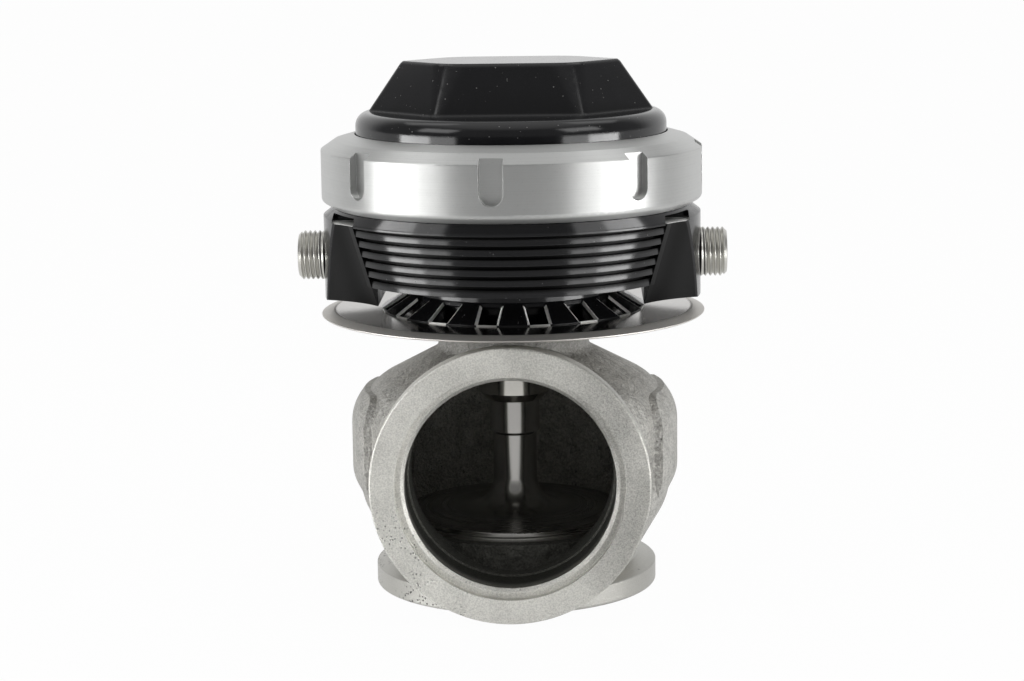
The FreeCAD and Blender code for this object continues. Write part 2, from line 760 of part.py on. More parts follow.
# ---- cap and collar -------------------------------------------------------------------------------------
def dowel_bar(radius, low):
    return Part.makeCylinder(radius, dowel_length, Vector(0, dowel_circle, low))


def cap_dowel():
    return dowel_bar(dowel_radius, base_top - dowel_length / 2)


def crown_outline(share, inset, z):
    """Long hexagon with two sharp corners on X; share runs from 0 at the crown's foot to 1 at its top."""
    corner = crown_low_corner + (crown_high_corner - crown_low_corner) * share - 1.3 * inset
    flat = crown_low_flat + (crown_high_flat - crown_low_flat) * share - inset
    ridge = crown_low_ridge + (crown_high_ridge - crown_low_ridge) * share - 0.5 * inset
    soft = crown_low_round + (crown_high_round - crown_low_round) * share
    outline = rounded_wire([
        (corner, 0, crown_corner_round), (ridge, flat, soft), (-ridge, flat, soft),
        (-corner, 0, crown_corner_round), (-ridge, -flat, soft), (ridge, -flat, soft)])
    outline.rotate(origin, Vector(1, 0, 0), -90)
    outline.translate(Vector(0, 0, z))
    return outline


def top_cap():
    """Cap with a clamping flange, rounded shoulder and hexagonal crown."""
    skirt = lathe([
        (0, cap_low), (cap_flange_radius, cap_low), (cap_flange_radius, slip_low), (cap_wall_radius, slip_low),
        (cap_wall_radius, cap_ledge, cap_ledge - cap_shoulder_low - 0.6), (cap_ledge_radius - 1.4, cap_ledge),
        (0, cap_ledge)])
    crown = Part.makeLoft([
        crown_outline(-crown_sink, 0.0, cap_ledge - crown_sink * (crown_height - crown_edge)),
        crown_outline(1.0, 0.0, cap_top - crown_edge),
        crown_outline(1.0, crown_edge, cap_top)], True, True)
    ledge_low = cap_ledge - cap_ledge_wall
    room = lathe([
        (0, cap_low - 1), (bowl_radius, cap_low - 1), (bowl_radius, ledge_low - 3.0), (bowl_radius - 2.5, ledge_low),
        (crown_bore, ledge_low), (crown_bore, room_top), (0, room_top)])
    port = port_cylinder(cap_port_radius, crown_bore - 5, crown_low_corner, cap_port_height)
    hole = dowel_bar(dowel_radius + running_gap, base_top - dowel_length / 2)
    return skirt.fuse(crown).cut([room, port, hole])


def slip_ring():
    return ring(slip_inner, slip_outer, slip_low, lip_low)


def notch_cutter():
    """One spanner notch with a round lower end, on the outlet's side."""
    half = notch_width / 2
    floor = collar_radius - notch_depth
    centre = notch_low + half
    corner = Vector(-half, -floor - 2 * notch_depth, centre)
    slot = Part.makeBox(notch_width, 2 * notch_depth, collar_top - centre + 1, corner)
    end = Part.makeCylinder(half, 2 * notch_depth, Vector(0, -floor, centre), Vector(0, -1, 0))
    return slot.fuse(end)


def collar():
    blank = lathe([
        (collar_bore, collar_low), (collar_foot_radius, collar_low), (collar_radius, collar_low + collar_foot, collar_foot_round),
        (collar_radius, collar_side_top, 0.6), (collar_slope_radius, collar_slope_top),
        (collar_lip_radius, collar_top), (collar_lip_radius, lip_low), (collar_bore, lip_low)])
    return blank.cut(pattern(notch_cutter(), notch_count, notch_turn))


def pieces():
    """Every piece by its node name."""
    made = {
        "valve_body": valve_body(), "valve_seat": valve_seat(), "valve_guide": valve_guide(), "valve": valve(),
        "body_gasket": body_gasket(), "heat_shield": heat_shield(), "actuator_base": actuator_base(),
        "base_bush": base_bush(), "stem_seal": stem_seal(), "seal_retainer": seal_retainer(),
        "base_screws": base_screws(), "diaphragm_plate": diaphragm_plate(), "diaphragm": diaphragm(),
        "piston": piston(), "stem_washer": stem_washer(), "stem_nut": stem_nut(), "spring_seat": spring_seat(),
        "cap_dowel": cap_dowel(), "top_cap": top_cap(), "slip_ring": slip_ring(), "collar": collar(),
    }
    for side, word in ((-1, "left"), (1, "right")):
        made["coolant_fitting_" + word] = coolant_fitting(side)
        made["fitting_seal_" + word] = fitting_seal(side)
    for name in spring_sizes:
        made[name] = spring(name)
    return made


def build():
    os.makedirs("parts", exist_ok=True)
    for name, shape in pieces().items():
        shape.exportStep("parts/" + name + ".step")


build()
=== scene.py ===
"""Looks of an external turbo wastegate: finishes, threads, springs, diaphragm and a small studio.

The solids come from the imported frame, in metres. +Z runs along the valve stem, and the outlet
looks towards -Y.
"""
import json
import math

import bmesh
import bpy
from bpy.props import FloatProperty, FloatVectorProperty, IntProperty, PointerProperty
from mathutils import Matrix, Vector


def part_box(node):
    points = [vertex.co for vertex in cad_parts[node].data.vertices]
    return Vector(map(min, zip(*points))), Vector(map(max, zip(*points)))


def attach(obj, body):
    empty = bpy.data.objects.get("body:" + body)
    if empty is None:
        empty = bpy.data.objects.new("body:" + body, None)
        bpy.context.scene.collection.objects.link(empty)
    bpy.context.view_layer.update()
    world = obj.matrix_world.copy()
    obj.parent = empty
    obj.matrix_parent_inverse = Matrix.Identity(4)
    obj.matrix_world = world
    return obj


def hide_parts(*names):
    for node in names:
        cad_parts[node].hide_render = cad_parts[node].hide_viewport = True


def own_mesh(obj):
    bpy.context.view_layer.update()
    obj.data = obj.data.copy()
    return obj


bl_info = {
    "name": "Wastegate looks",
    "version": (1, 0, 0),
    "blender": (4, 5, 0),
    "location": "3D View > Sidebar > Wastegate",
    "description": "Finishes, threads, springs and studio for the wastegate",
    "category": "Object",
}

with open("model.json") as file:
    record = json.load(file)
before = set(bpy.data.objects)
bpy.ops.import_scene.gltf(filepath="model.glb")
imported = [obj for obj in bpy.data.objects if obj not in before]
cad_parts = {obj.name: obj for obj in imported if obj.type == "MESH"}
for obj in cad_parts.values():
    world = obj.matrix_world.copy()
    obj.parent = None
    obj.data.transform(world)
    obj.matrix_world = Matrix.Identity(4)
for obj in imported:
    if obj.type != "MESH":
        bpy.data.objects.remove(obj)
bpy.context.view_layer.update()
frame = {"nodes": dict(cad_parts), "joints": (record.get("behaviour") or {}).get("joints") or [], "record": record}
MM = 0.001


def mount(name):
    """Position and sizes of one of the record's mounts, in millimetres."""
    found = next(m for m in frame["record"]["mounts"] if m["name"] == name)
    return Vector(found["pos_m"]) / MM, found["dims"]


def low_mm(node):
    return Vector(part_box(node)[0]) / MM


def high_mm(node):
    return Vector(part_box(node)[1]) / MM


# ---- places on the part, in millimetres ---------------------------------------------------------
OUTLET, OUTLET_SIZES = mount("outlet_bore")
OUTLET_FACE = mount("outlet_face")[0].y
STUB, STUB_SIZES = mount("coolant_stub_right")
BODY_TOP = high_mm("valve_body").z
FOOT = low_mm("actuator_base").z        # heights on the base are taken from here
BAND = high_mm("actuator_base").x       # radius of the base's top band
LIFT = next(j for j in frame["joints"] if j["name"] == "valve_lift")["range_m"][1] / MM

SPRINGS = {                             # wire and turns
    "outer_spring": (2.6, 6.5),
    "middle_spring": (2.2, 7.5),
    "inner_spring": (1.9, 8.5),
}


# ---- sizes and colours that a user may change ---------------------------------------------------
def colour(name, description, value):
    """A colour on the panel, with its default."""
    return FloatVectorProperty(name=name, description=description, default=value, size=3,
                               min=0, max=1, subtype="COLOR")


class ThreadSizes(bpy.types.PropertyGroup):
    pitch: FloatProperty(name="Pitch", description="Distance between crests in mm",
                         default=1.411, min=0.3)
    depth: FloatProperty(name="Depth", description="Radial height of the thread in mm",
                         default=0.78, min=0.1)
    shank: FloatProperty(name="Shank radius", description="Radius of the part inside the lug in mm",
                         default=5.8)
    bore: FloatProperty(name="Bore radius", description="Radius of the through hole in mm",
                        default=4.0, min=0.5)
    chamfer: FloatProperty(name="Chamfer", description="Bevel at the tip in mm",
                           default=1.1, min=0)


class SpringSizes(bpy.types.PropertyGroup):
    closed_turns: FloatProperty(name="Closed turns", description="Turns that lie flat at each end",
                                default=0.8)
    turn_steps: IntProperty(name="Steps per turn", description="Sections along one turn",
                            default=32, min=8)
    wire_sides: IntProperty(name="Wire sides", description="Points round the wire",
                            default=12, min=6)


class FinishColours(bpy.types.PropertyGroup):
    cast: colour("Cast steel", "Blasted stainless casting", (0.50, 0.492, 0.465))
    turned: colour("Turned steel", "Machined faces of the body", (0.66, 0.652, 0.61))
    # painted shade: the dark colour inside the chamber and the outlet bore
    inner_shade: colour("Painted shade", "Inside the chamber", (0.115, 0.115, 0.104))
    valve: colour("Valve steel", "Ground valve and stem", (0.50, 0.49, 0.47))
    guide: colour("Guide iron", "Guide and bush", (0.66, 0.645, 0.60))
    polished: colour("Polished steel", "Mirror of the heat shield", (0.66, 0.64, 0.61))
    silver: colour("Silver anodising", "Collar", (0.61, 0.615, 0.605))
    black: colour("Black anodising", "Finned base", (0.010, 0.010, 0.011))
    gloss: colour("Gloss black anodising", "Cap", (0.008, 0.008, 0.009))
    rubber: colour("Rubber", "Diaphragm and seals", (0.03, 0.028, 0.027))
    spring: colour("Spring paint", "Coil springs", (0.12, 0.13, 0.15))


class StudioSizes(bpy.types.PropertyGroup):
    lens: FloatProperty(name="Lens", description="Focal length in mm for a 36 mm sensor",
                        default=85.66)
    distance: FloatProperty(name="Distance", description="From the stem's axis, level",
                            default=0.70345, unit="LENGTH")
    height: FloatProperty(name="Height", description="Camera above the floor",
                          default=0.19434, unit="LENGTH")
    turn: FloatProperty(name="Turn", description="Camera's place round the stem",
                        default=math.radians(1.55), unit="ROTATION")
    pan: FloatProperty(name="Pan", description="Aim to the side",
                       default=-0.0007, unit="ROTATION")
    tilt: FloatProperty(name="Tilt", description="Aim downwards",
                        default=math.radians(9.93), unit="ROTATION")
    roll: FloatProperty(name="Roll", description="Turn about the line of sight",
                        default=-0.0130, unit="ROTATION")
    strip_light: FloatProperty(name="Strip light", default=11.0,
                               description="Brightness of the low strips beside the part")
    side_light: FloatProperty(name="Side light", default=2.6,
                              description="Brightness of the two soft boxes")
    rear_light: FloatProperty(name="Rear light", default=0.9,
                              description="Brightness of the boxes behind, above")
    backdrop: FloatProperty(name="Backdrop", description="Brightness behind the part",
                            default=0.85)
    room: FloatProperty(name="Room", description="Brightness of the dark room in front",
                        default=0.22)
    ceiling: FloatProperty(name="Ceiling", description="Brightness straight above", default=0.85)
    table: FloatProperty(name="Table", description="Brightness of the table as it is mirrored",
                         default=0.8)
    table_edge: FloatProperty(name="Table edge", default=0.47, unit="LENGTH",
                              description="From the stem's axis to the front edge")


# ---- shader building ----------------------------------------------------------------------------
class Wire:
    """A socket that can be used in arithmetic: each operation adds a Math node."""

    def __init__(self, tree, socket):
        self.tree = tree
        self.socket = socket

    def feed(self, target):
        self.tree.links.new(self.socket, target)

    def math(self, operation, *others):
        sockets = dict(enumerate((self, *others)))
        return add_node(self.tree, "ShaderNodeMath", {"operation": operation}, sockets)

    def after(self, operation, first):
        """Arithmetic with this wire in second place."""
        return add_node(self.tree, "ShaderNodeMath", {"operation": operation}, {0: first, 1: self})

    def __add__(self, other):
        return self.math("ADD", other)

    def __radd__(self, other):
        return self.after("ADD", other)

    def __sub__(self, other):
        return self.math("SUBTRACT", other)

    def __rsub__(self, other):
        return self.after("SUBTRACT", other)

    def __mul__(self, other):
        return self.math("MULTIPLY", other)

    def __rmul__(self, other):
        return self.after("MULTIPLY", other)

    def __pow__(self, other):
        return self.math("POWER", other)

    def __abs__(self):
        return self.math("ABSOLUTE")

    def either(self, other):
        return self.math("MAXIMUM", other)

    def step(self, low, high):
        """Smooth step from 0 at low to 1 at high. With low above high, it falls."""
        return add_node(self.tree, "ShaderNodeMapRange",
                        {"interpolation_type": "SMOOTHSTEP", "clamp": True},
                        {"Value": self, "From Min": low, "From Max": high})

    def over(self, limit, soft):
        """1 over a limit and 0 under it, with a fade that is soft to either side."""
        return self.step(limit - soft, limit + soft)

    def under(self, limit, soft):
        """1 under a limit and 0 over it."""
        return self.step(limit + soft, limit - soft)

    def between(self, low, high, soft):
        """1 between two limits and 0 outside them."""
        return self.over(low, soft) * self.under(high, soft)


def fill(socket, value):
    """Links a Wire to a socket, or sets the socket's own value."""
    if isinstance(value, Wire):
        value.feed(socket)
    else:
        socket.default_value = value


def with_alpha(value):
    """A colour with its alpha. A Wire or a single number stays as it is."""
    return (*value, 1) if hasattr(value, "__len__") else value


def add_node(tree, kind, settings=None, inputs=None, output=0):
    """Any node: its settings first, then its sockets' values or links. Gives one of its outputs."""
    node = tree.nodes.new(kind)
    for key, value in (settings or {}).items():
        setattr(node, key, value)
    for key, value in (inputs or {}).items():
        fill(node.inputs[key], value)
    return Wire(tree, node.outputs[output])


class Finish:
    """Node material with a Principled shader and the resting part's coordinates in millimetres."""

    bevel_samples = 6

    def __init__(self, name, **sockets):
        self.material = bpy.data.materials.new(name)
        self.material.use_nodes = True
        self.tree = self.material.node_tree
        self.tree.nodes.clear()
        self.shader = self.tree.nodes.new("ShaderNodeBsdfPrincipled")
        self.end = self.tree.nodes.new("ShaderNodeOutputMaterial")
        self.tree.links.new(self.shader.outputs[0], self.end.inputs[0])
        metres = self.add("ShaderNodeTexCoord", output="Object")
        self.place = self.vector("SCALE", metres, Scale=1 / MM)
        self.x = self.part(self.place, "X")
        self.y = self.part(self.place, "Y")
        self.z = self.part(self.place, "Z")
        self.use(**sockets)

    def add(self, kind, settings=None, inputs=None, output=0):
        return add_node(self.tree, kind, settings, inputs, output)

    def vector(self, operation, first, **more):
        return self.add("ShaderNodeVectorMath", {"operation": operation}, {0: first, **more})

    def part(self, vector, axis):
        return self.add("ShaderNodeSeparateXYZ", None, {0: vector}, axis)

    def join(self, x, y, z):
        return self.add("ShaderNodeCombineXYZ", None, {0: x, 1: y, 2: z})

    def radius(self, u, v):
        return (u * u + v * v) ** 0.5

    def turn(self, u, v):
        """Angle round an axis in radians."""
        return self.add("ShaderNodeMath", {"operation": "ARCTAN2"}, {0: u, 1: v})

    def noise(self, scale, where=None, detail=3.0, rough=0.55):
        return self.add("ShaderNodeTexNoise", None, {"Vector": where or self.place, "Scale": scale,
                                                     "Detail": detail, "Roughness": rough})

    def spots(self, scale, edge, core):
        """Round spots at scattered points: 0 beyond the edge's distance, 1 within the core's."""
        cells = self.add("ShaderNodeTexVoronoi", None, {"Vector": self.place, "Scale": scale},
                         "Distance")
        return cells.step(edge, core)

    def blend(self, share, first, second):
        """Mix of two colours."""
        return self.add("ShaderNodeMix", {"data_type": "RGBA"},
                        {0: share, 6: with_alpha(first), 7: with_alpha(second)}, 2)

    def shade(self, base, amount):
        """A colour times a value that varies round 1."""
        grey = self.join(amount, amount, amount)
        return self.add("ShaderNodeMix", {"data_type": "RGBA", "blend_type": "MULTIPLY"},
                        {0: 1.0, 6: with_alpha(base), 7: grey}, 2)

    def lathe_marks(self, along, around, pitch, wander=0.25):
        """Fine ridges left by a turning tool: a noise that is stretched round the axis."""
        place = self.join(along * (1 / pitch), around * wander, 0.0)
        return self.noise(1.0, place, detail=4.0, rough=0.7)

    def stem_marks(self, out, pitch, wander=0.25):
        """Lathe marks of a part that was turned about the stem's axis."""
        return self.lathe_marks(self.z + out, self.turn(self.x, self.y), pitch, wander)

    def bump(self, height, edge=0.0):
        """Normal from a height, over edges rounded by a small radius, both in millimetres."""
        sockets = {"Height": height, "Strength": 1.0, "Distance": MM}
        if edge > 0:
            sockets["Normal"] = self.add("ShaderNodeBevel", {"samples": self.bevel_samples},
                                         {"Radius": edge * MM})
        return self.add("ShaderNodeBump", None, sockets)

    def use(self, **sockets):
        """Values or links for the Principled shader's sockets."""
        for key, value in sockets.items():
            fill(self.shader.inputs[key.replace("_", " ")], with_alpha(value))


def dress(finish, *nodes):
    """Gives a finish to CAD nodes."""
    for name in nodes:
        for slot in frame["nodes"][name].material_slots:
            slot.material = finish.material


# ---- mesh building ------------------------------------------------------------------------------
def new_piece(name, mesh, finish, body, slot, *nodes):
    """Adds a mesh object that rides on a body and stands for CAD nodes."""
    for polygon in mesh.polygons:
        polygon.use_smooth = True
    piece = bpy.data.objects.new(name, mesh)
    bpy.context.scene.collection.objects.link(piece)
    mesh.materials.append(finish.material)
    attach(piece, body)
    if nodes:
        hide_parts(*nodes)
    return piece


def grid_mesh(name, rings, closed_along=False):
    """Mesh of rings of points. Each ring is closed and joins the next one with quads."""
    shape = bmesh.new()
    rows = [[shape.verts.new(point) for point in ring] for ring in rings]
    spans = list(zip(rows, rows[1:]))
    if closed_along:
        spans.append((rows[-1], rows[0]))
    for near, far in spans:
        for i in range(len(near)):
            onward = (i + 1) % len(near)
            shape.faces.new((near[i], near[onward], far[onward], far[i]))
    if not closed_along:
        shape.faces.new(list(reversed(rows[0])))
        shape.faces.new(rows[-1])
    bmesh.ops.recalc_face_normals(shape, faces=shape.faces)
    mesh = bpy.data.meshes.new(name)
    shape.to_mesh(mesh)
    shape.free()
    return mesh


# ---- finishes -----------------------------------------------------------------------------------
def body_finish(colours):
    """Blasted casting with turned flanges and bores, and painted shade inside the chamber and the outlet bore."""
    flange = 8.05                       # thickness of both flanges
    bore_radius = 31.0
    shade_starts, shade_full = OUTLET_FACE + 4.0, OUTLET_FACE + 9.0
    chamber_radius = 35.0
    chamber_low, chamber_high = 12.5, 57.5
    neck_low, neck_high = BODY_TOP - 17.0, BODY_TOP - 3.0   # painted shade: the casting darkens on its way up under the heat shield

    finish = Finish("cast_and_turned_steel", Metallic=1.0)
    across = finish.radius(finish.x, finish.z - OUTLET.z)
    out = finish.radius(finish.x, finish.y)
    outlet_flange = finish.y.under(OUTLET_FACE + flange, 0.15)
    bore_end = OUTLET.y + OUTLET_SIZES["length_mm"] / 2
    in_bore = across.step(OUTLET_SIZES["r_mm"] + 3, bore_radius)
    outlet_bore = finish.y.step(bore_end + 0.1, bore_end) * in_bore
    inlet_flange = finish.z.under(flange, 0.15) * (1 - outlet_flange)
    turned = outlet_flange.either(outlet_bore).either(inlet_flange)
    chamber = out.under(chamber_radius, 0.5) * finish.z.between(chamber_low, chamber_high, 0.5)
    # painted shade deep in the outlet bore; the chamber gets it too
    bore_shade = in_bore * finish.y.step(shade_starts, shade_full) * finish.y.step(0.0, -2.0)
    inside = chamber.either(bore_shade)

    grain = finish.noise(1.5, detail=4.0, rough=0.7)
    fleck = grain.step(0.34, 0.66)
    swell = finish.noise(0.22, detail=3.0).step(0.3, 0.7)
    pores = finish.spots(1.0, 0.30, 0.12) * finish.noise(0.35).step(0.50, 0.62)
    cast_height = grain * 0.42 + swell * 0.5 - pores * 0.2

    around_outlet = finish.turn(finish.x, finish.z - OUTLET.z)
    marks = finish.lathe_marks(across + finish.y * 0.7, around_outlet, 0.45)
    low_marks = finish.lathe_marks(finish.z, finish.turn(finish.x, finish.y), 0.3)
    rough_cut = 1 - inlet_flange * 0.75
    speckle = finish.noise(2.3, detail=4.0, rough=0.75).step(0.30, 0.70)
    speckle = (speckle - 0.5) * rough_cut + 0.5
    stain = finish.noise(0.05, detail=3.0).step(0.32, 0.68)
    worn = finish.noise(0.09, detail=2.0).step(0.46, 0.62)
    worn = worn * finish.x.step(8, -28) * finish.z.step(48, 22)
    pits = finish.spots(0.95, 0.36, 0.18) * worn.either(finish.noise(0.5).step(0.64, 0.70) * 0.5)
    lines = inlet_flange * low_marks + (1 - inlet_flange) * marks
    turned_height = lines * 0.04 + speckle * 0.05 - pits * 0.2

    # painted shade on the neck under the heat shield
    shadowed = finish.z.step(neck_low, neck_high)
    mottled = 0.60 + fleck * 0.44 + swell * 0.2 - pores * 0.35
    cast_tone = finish.shade(colours.cast, mottled * (1 - shadowed * 0.5))
    # painted light: the turned outlet face is lighter towards its left side and its bottom
    painted_left_light = finish.x.step(36, -36) * 0.30 + finish.z.step(24, 8) * 0.08
    plain = 0.36 + speckle * 0.42 + stain * 0.22 * rough_cut + painted_left_light * rough_cut + lines * 0.14
    turned_tone = finish.shade(colours.turned, plain - pits * 0.6)
    bright = finish.blend(turned, cast_tone, turned_tone)
    # painted shade: the inside is coloured dark where shade falls
    shaded_inside = finish.shade(colours.inner_shade, 0.7 + fleck * 0.6)

    cast_rough = (0.50 + grain * 0.12) * (1 - turned)
    turned_rough = (0.32 + speckle * 0.12) * turned
    height = cast_height * (1 - turned) + turned_height * turned
    finish.use(Base_Color=finish.blend(inside, bright, shaded_inside),
               Roughness=cast_rough + turned_rough + inside * 0.1,
               Normal=finish.bump(height, edge=0.25))
    return finish


def valve_finish(colours):
    """Ground stem and turned head."""
    finish = Finish("ground_steel", Metallic=1.0, Anisotropic=0.6, Anisotropic_Rotation=0.25)
    out = finish.radius(finish.x, finish.y)
    marks = finish.stem_marks(out, 0.4, 0.1)
    head = out.step(12.0, 20.0)
    tone = finish.shade(colours.valve, (0.92 + marks * 0.16) * (1 - head * 0.2))
    finish.use(Base_Color=tone, Roughness=0.19 + marks * 0.06 + head * 0.05,
               Normal=finish.bump(marks * 0.004))
    return finish


def guide_finish(colours):
    """Turned iron of the guide and bush."""
    finish = Finish("turned_iron", Metallic=1.0, Anisotropic=0.6, Anisotropic_Rotation=0.25)
    marks = finish.stem_marks(finish.radius(finish.x, finish.y), 0.35, 0.1)
    finish.use(Base_Color=finish.shade(colours.guide, 0.92 + marks * 0.16),
               Roughness=0.16 + marks * 0.05, Normal=finish.bump(marks * 0.004))
    return finish


def polished_finish(colours):
    """Mirror disc with a finely brushed rim."""
    disc_radius = 51.7
    finish = Finish("mirror_steel", Metallic=1.0)
    out = finish.radius(finish.x, finish.y)
    rim = out.over(disc_radius, 0.5)
    marks = finish.stem_marks(out, 0.22)
    haze = finish.noise(0.12, detail=4.0)
    scratch = finish.noise(0.9, detail=5.0, rough=0.8).step(0.5, 0.7)
    tone = 0.66 + marks * 0.14 + scratch * 0.1 + rim * 0.3
    height = (marks * 0.006 + scratch * 0.004) * (0.3 + rim)
    finish.use(Base_Color=finish.shade(colours.polished, tone),
               Roughness=0.10 + haze * 0.06 + rim * (0.28 + marks * 0.14),
               Normal=finish.bump(height))
    return finish


def silver_finish(colours):
    """Turned and satin anodised aluminium."""
    finish = Finish("silver_anodising", Metallic=1.0, Anisotropic=0.8, Anisotropic_Rotation=0.25)
    marks = finish.stem_marks(finish.radius(finish.x, finish.y), 0.20, 0.3)
    cloud = finish.noise(0.5, detail=2.0)
    nicks = finish.noise(2.2, detail=2.0).step(0.66, 0.72)
    tone = 0.82 + marks * 0.28 + cloud * 0.06 - nicks * 0.12
    finish.use(Base_Color=finish.shade(colours.silver, tone), Roughness=0.38 + marks * 0.10,
               Normal=finish.bump(marks * 0.008 - nicks * 0.006, edge=0.2))
    return finish


def window_edges(finish, out, rise):
    """Mask of the bare bevels round the windows in the foot's cone, and of their outer lips."""
    count = 16
    first = math.radians(12.7)          # turn of the first window
    half_width, half_length = 2.6, 3.9
    middle = BAND - 20.45               # radius of the windows' middle
    stretch = 1.168                     # length along the cone for each millimetre of radius
    cone_top = 5.7

    pitch = 2 * math.pi / count
    place = finish.turn(finish.x, finish.y * -1) * (1 / pitch) + (0.5 - first / pitch)
    beside = abs((place.math("FRACT") - 0.5) * out * pitch)
    down = (out - middle) * stretch
    edge = (beside - half_width).either(abs(down) - half_length)
    bevels = edge.step(0.02, 0.10) * edge.step(0.90, 0.78)
    bevels = bevels * down.step(-half_length, 0.4 - half_length)
    lips = beside.under(half_width + 0.3, 0.1)
    lips = lips * down.between(half_length + 0.2, half_length + 1.3, 0.1)
    return bevels.either(lips) * rise.under(cone_top, 0.1)


def black_finish(colours):
    """Satin black anodising: turned crests; grooves, legs and flanks rougher and darkened as painted shade; pocket
    floors painted light; bare edges of windows.
    """
    # Heights above the foot: lower end of the lugs' legs, the finned core, the bevel over it
    leg_low = 3.8
    core_low, core_high = 9.3, 27.2
    bevel_low, bevel_high = 27.85, 30.2
    # Radii: the foot's edge, and how far inside the band the bevel and the lowest crest begin
    foot_radius = 38.75
    bevel_inset, crest_inset = 3.2, 7.9
    crest_slope = 0.324                 # radius that the crests gain for each millimetre of height
    lug_share = 0.553                   # half the width of a lug, as a share of the radius

    finish = Finish("black_anodising", Anisotropic=0.8, Anisotropic_Rotation=0.25, IOR=1.5)
    out = finish.radius(finish.x, finish.y)
    rise = finish.z - FOOT
    marks = finish.stem_marks(out, 0.2, 0.4)
    dust = finish.spots(0.7, 0.14, 0.08) * finish.noise(0.6).step(0.53, 0.60)

    crest = rise * crest_slope + (BAND - crest_inset - crest_slope * core_low)
    grooves = (crest - out).step(0.25, 0.7) * rise.between(core_low, core_high, 0.1)
    legs = out.between(foot_radius, BAND - 0.45, 0.15) * rise.between(leg_low, core_low, 0.1)
    flanks = (out * lug_share - abs(finish.y)).over(0.0, 0.3) * out.under(BAND - 0.45, 0.15)
    flanks = flanks * rise.between(leg_low, core_high - 0.2, 0.1)
    # grooves, legs and flanks: rougher, and darkened as painted shade
    dull_and_shaded = grooves.either(legs).either(flanks)
    # painted light: the floors of the pockets over the lugs are near white, as if lit
    painted_lit_pockets = rise.between(core_high - 0.1, core_high + 0.1, 0.05) * out.under(BAND - 0.35, 0.15)
    bare = window_edges(finish, out, rise)

    tone = finish.shade(colours.black, 0.8 + marks * 0.4)
    tone = finish.blend(dust * 0.4, tone, (0.3, 0.3, 0.3))
    # painted shade: a near-black metal in the grooves, legs and flanks reflects less than the anodising
    tone = finish.blend(dull_and_shaded, tone, (0.016, 0.016, 0.016))
    # painted light on the pocket floors
    tone = finish.blend(painted_lit_pockets, tone, (0.85, 0.85, 0.83))
    tone = finish.blend(bare, tone, (0.92, 0.915, 0.89))

    bevel = rise.between(bevel_low, bevel_high, 0.1) * out.over(BAND - bevel_inset, 0.1)
    outward = finish.vector("NORMALIZE", finish.join(finish.x, finish.y, 0.0))
    bumped = finish.bump(marks * 0.005, edge=0.2)
    upright = finish.add("ShaderNodeMix", {"data_type": "VECTOR"},
                         {0: bevel * 0.92, 4: bumped, 5: outward}, 1)
    finish.use(Base_Color=tone, Metallic=bare.either(dull_and_shaded), Normal=upright,
               Roughness=0.15 + marks * 0.07 + dull_and_shaded * 0.25 + bare * 0.38 + painted_lit_pockets * 0.5)
    return finish


def gloss_finish(colours):
    """Bright black anodising on the cap, with dust and light scratches."""
    finish = Finish("gloss_black_anodising", IOR=1.5)
    cloud = finish.noise(0.15, detail=3.0)
    dust = finish.spots(0.6, 0.15, 0.09) * finish.noise(0.7).step(0.50, 0.58)
    flat = finish.join(finish.x * 0.5, finish.y * 0.5, finish.z * 5)
    scratch = finish.noise(1.0, flat, detail=5.0, rough=0.8).step(0.60, 0.74)
    clean = finish.shade(colours.gloss, 0.8 + cloud * 0.4)
    finish.use(Base_Color=finish.blend(dust * 0.5 + scratch * 0.04, clean, (0.25, 0.25, 0.24)),
               Roughness=0.09 + cloud * 0.06 + dust * 0.3 + scratch * 0.05,
               Normal=finish.bump(finish.noise(1.5) * 0.002, edge=1.1))
    return finish


def rubber_finish(colours):
    """Moulded rubber of the diaphragm and seals."""
    finish = Finish("moulded_rubber", Metallic=0.0)
    grain = finish.noise(3.0, detail=4.0)
    finish.use(Base_Color=finish.shade(colours.rubber, 0.8 + grain * 0.4),
               Roughness=0.55 + grain * 0.2, Normal=finish.bump(grain * 0.03))
    return finish


def spring_finish(colours):
    """Paint on the coil springs."""
    finish = Finish("painted_spring", Metallic=0.3)
    grain = finish.noise(1.2, detail=3.0)
    finish.use(Base_Color=finish.shade(colours.spring, 0.8 + grain * 0.4),
               Roughness=0.35 + grain * 0.15, Normal=finish.bump(grain * 0.02))
    return finish


def plated_finish(colours):
    """Turned stainless of stubs, screws, washers and the seat."""
    finish = Finish("turned_stainless", Metallic=1.0)
    speckle = finish.noise(4.0, detail=3.0)
    finish.use(Base_Color=finish.shade(colours.turned, 0.8 + speckle * 0.3),
               Roughness=0.26 + speckle * 0.1, Normal=finish.bump(speckle * 0.008, edge=0.1))
    return finish


def gasket_finish():
    """Grey fibre sheet."""
    finish = Finish("gasket_sheet", Metallic=0.0)
    fibre = finish.noise(2.0, detail=5.0)
    finish.use(Base_Color=finish.shade((0.16, 0.15, 0.14), 0.7 + fibre * 0.6),
               Roughness=0.6 + fibre * 0.2, Normal=finish.bump(fibre * 0.02))
    return finish


